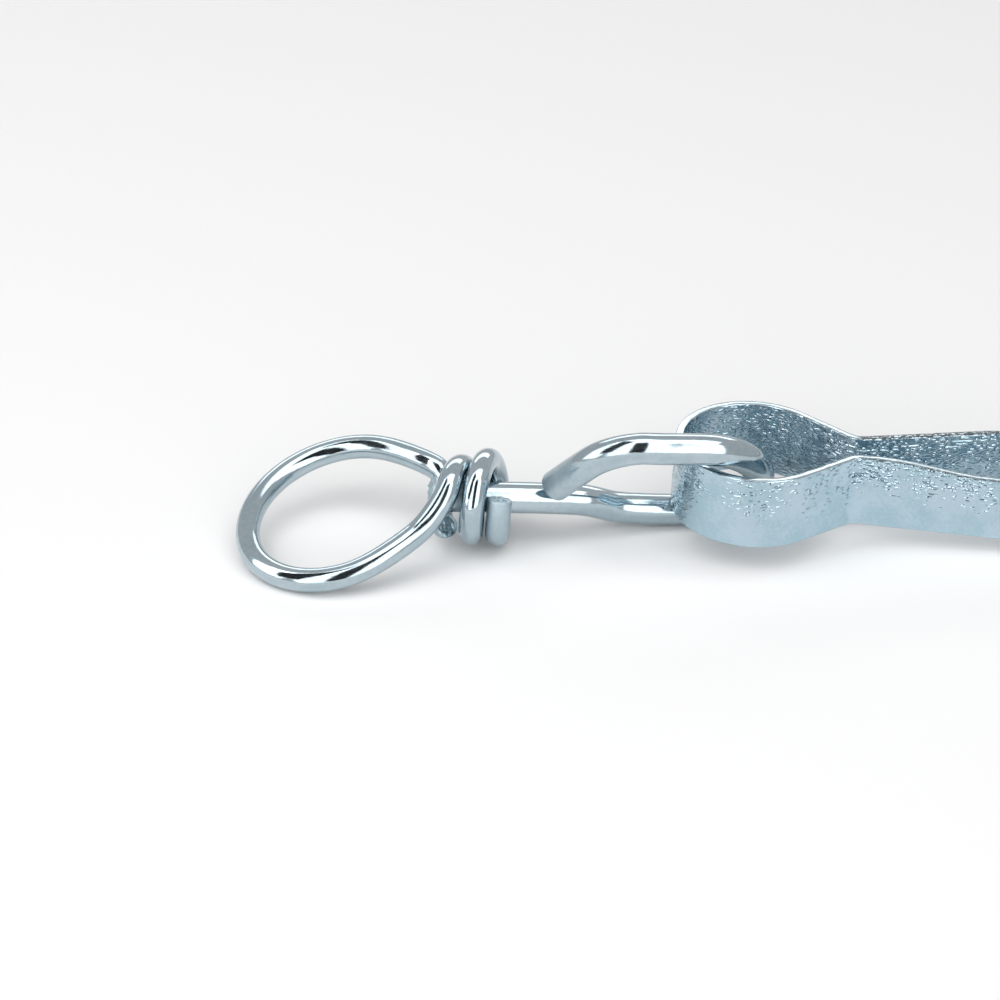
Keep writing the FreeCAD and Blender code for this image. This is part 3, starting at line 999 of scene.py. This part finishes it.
def soft_box(name, target, azimuth, elevation, distance, wide, tall, brightness):
    """Rectangular lamp whose face has this brightness."""
    lamp = bpy.data.lights.new(name, "AREA")
    lamp.shape = "RECTANGLE"
    lamp.size = wide
    lamp.size_y = tall
    lamp.energy = brightness * math.pi * wide * tall
    holder = bpy.data.objects.new(name, lamp)
    bpy.context.scene.collection.objects.link(holder)
    holder.location = target + direction(azimuth, elevation) * distance
    holder.rotation_mode = "QUATERNION"
    holder.rotation_quaternion = facing(holder.location, target)
    return holder


def card(name, target, azimuth, elevation, distance, wide, tall, roll, material):
    """Flat card that only shows in reflections; roll turns its top to the left."""
    bm = bmesh.new()
    bmesh.ops.create_grid(bm, x_segments=1, y_segments=1, size=0.5)
    where = target + direction(azimuth, elevation) * distance
    turned = facing(where, target) @ Quaternion((0, 0, 1), math.radians(roll))
    place = Matrix.LocRotScale(where, turned, Vector((wide, tall, 1)))
    bmesh.ops.transform(bm, matrix=place, verts=bm.verts)
    mesh = bpy.data.meshes.new(name)
    bm.to_mesh(mesh)
    bm.free()
    mesh.materials.append(material)
    panel = bpy.data.objects.new(name, mesh)
    bpy.context.scene.collection.objects.link(panel)
    panel.visible_camera = False
    panel.visible_diffuse = False
    panel.visible_shadow = False
    return panel


def plain_material(name, tint, roughness):
    material = bpy.data.materials.new(name)
    material.use_nodes = True
    shader = material.node_tree.nodes["Principled BSDF"]
    shader.inputs["Base Color"].default_value = (*tint, 1)
    shader.inputs["Roughness"].default_value = roughness
    shader.inputs["Specular IOR Level"].default_value = 0.1
    return material


def build_world(settings):
    """Dim light from all round, with a brighter surround where it is seen directly or in a reflection."""
    world = bpy.data.worlds.new("studio_surround")
    bpy.context.scene.world = world
    world.use_nodes = True
    tree = world.node_tree
    tree.nodes.clear()
    lit = tree.nodes.new("ShaderNodeBackground")
    lit.inputs["Strength"].default_value = settings.fill
    lit.inputs["Color"].default_value = (1, 1, 1, 1)
    seen = tree.nodes.new("ShaderNodeBackground")
    seen.inputs["Strength"].default_value = 1.0
    seen.inputs["Color"].default_value = (*[settings.surround] * 3, 1)
    path = tree.nodes.new("ShaderNodeLightPath")
    direct = maths(tree, "MAXIMUM", path.outputs["Is Camera Ray"], path.outputs["Is Glossy Ray"])
    direct = maths(tree, "MAXIMUM", direct, path.outputs["Is Transmission Ray"])
    mix = tree.nodes.new("ShaderNodeMixShader")
    tree.links.new(direct, mix.inputs[0])
    tree.links.new(lit.outputs[0], mix.inputs[1])
    tree.links.new(seen.outputs[0], mix.inputs[2])
    output = tree.nodes.new("ShaderNodeOutputWorld")
    tree.links.new(mix.outputs[0], output.inputs["Surface"])


FLOOR_REACH = 6.0
# Name, azimuth, elevation, distance, width and height; a card's roll comes last.
SOFT_BOXES = (
    ("front_box", 2, 38, 0.8, 1.60, 1.16),
    ("left_box", -74, 38, 0.8, 0.60, 1.0),
    ("top_box", 0, 86, 0.8, 1.10, 0.43),
    ("back_box", 180, 30, 0.9, 1.0, 0.25),
)
BLACK_CARDS = (
    ("black_card_left", -61, 50, 0.7, 0.30, 0.80, 18),
    ("black_card_middle", 5, 40, 0.7, 0.35, 1.04, -8),
)


class SWIVEL_OT_studio(bpy.types.Operator):
    """Sets up the floor, soft boxes, surround and camera"""
    bl_idname = "swivel.studio"
    bl_label = "Studio"

    def execute(self, context):
        settings = context.scene.studio_settings
        azimuth = math.degrees(settings.view_azimuth)
        elevation = math.degrees(settings.view_elevation)
        toward = direction(azimuth, elevation)
        right = Vector((cos(azimuth), sin(azimuth), 0))
        above = toward.cross(right)
        aim = nose_centre - right * settings.nose_right - above * settings.nose_above
        camera = bpy.data.cameras.new("camera")
        camera.lens = camera.sensor_width * settings.view_distance / settings.view_width
        camera.clip_start = 0.05
        camera.clip_end = 20
        holder = bpy.data.objects.new("camera", camera)
        context.scene.collection.objects.link(holder)
        holder.location = aim + toward * settings.view_distance
        holder.rotation_mode = "QUATERNION"
        holder.rotation_quaternion = facing(holder.location, aim)
        context.scene.camera = holder

        bm = bmesh.new()
        bmesh.ops.create_grid(bm, x_segments=1, y_segments=1, size=FLOOR_REACH)
        bmesh.ops.translate(bm, vec=(0, 0, floor_level), verts=bm.verts)
        mesh = bpy.data.meshes.new("floor")
        bm.to_mesh(mesh)
        bm.free()
        mesh.materials.append(plain_material("floor_paper", settings.floor_colour, 0.9))
        floor = bpy.data.objects.new("floor", mesh)
        context.scene.collection.objects.link(floor)

        target = Vector((aim.x, aim.y, 0))
        bright = settings.lamp_brightness
        for name, *placing in SOFT_BOXES:
            soft_box(name, target, *placing, bright)
        black = plain_material("black_card", (0.01, 0.01, 0.012), 0.9)
        for name, *placing in BLACK_CARDS:
            card(name, target, *placing, black)
        build_world(settings)
        context.scene.view_settings.view_transform = "Standard"
        return {"FINISHED"}


class SWIVEL_PT_panel(bpy.types.Panel):
    """Lists the steps that build the swivel"""
    bl_label = "Swivel ring"
    bl_idname = "SWIVEL_PT_panel"
    bl_space_type = "VIEW_3D"
    bl_region_type = "UI"
    bl_category = "Swivel"

    def draw(self, context):
        for operator in OPERATORS:
            self.layout.operator(operator.bl_idname)
        for name in SETTINGS:
            box = self.layout.box()
            group = getattr(context.scene, name)
            for prop in group.bl_rna.properties:
                if prop.identifier not in ("rna_type", "name"):
                    box.prop(group, prop.identifier)


OPERATORS = (SWIVEL_OT_strap, SWIVEL_OT_eye_pin, SWIVEL_OT_ring, SWIVEL_OT_studio)
SETTINGS = {
    "swivel_ring_sizes": SwivelRingSizes,
    "eye_pin_sizes": EyePinSizes,
    "strap_sizes": StrapSizes,
    "plating_look": PlatingLook,
    "studio_settings": StudioSettings,
}


def register():
    for group in SETTINGS.values():
        bpy.utils.register_class(group)
    for name, group in SETTINGS.items():
        setattr(bpy.types.Scene, name, PointerProperty(type=group))
    for item in (*OPERATORS, SWIVEL_PT_panel):
        bpy.utils.register_class(item)


def unregister():
    for item in (SWIVEL_PT_panel, *reversed(OPERATORS)):
        bpy.utils.unregister_class(item)
    for name, group in SETTINGS.items():
        delattr(bpy.types.Scene, name)
        bpy.utils.unregister_class(group)


def main():
    register()
    bpy.ops.swivel.strap()
    bpy.ops.swivel.eye_pin()
    bpy.ops.swivel.ring()
    bpy.ops.swivel.studio()


if __name__ == "__main__":
    main()
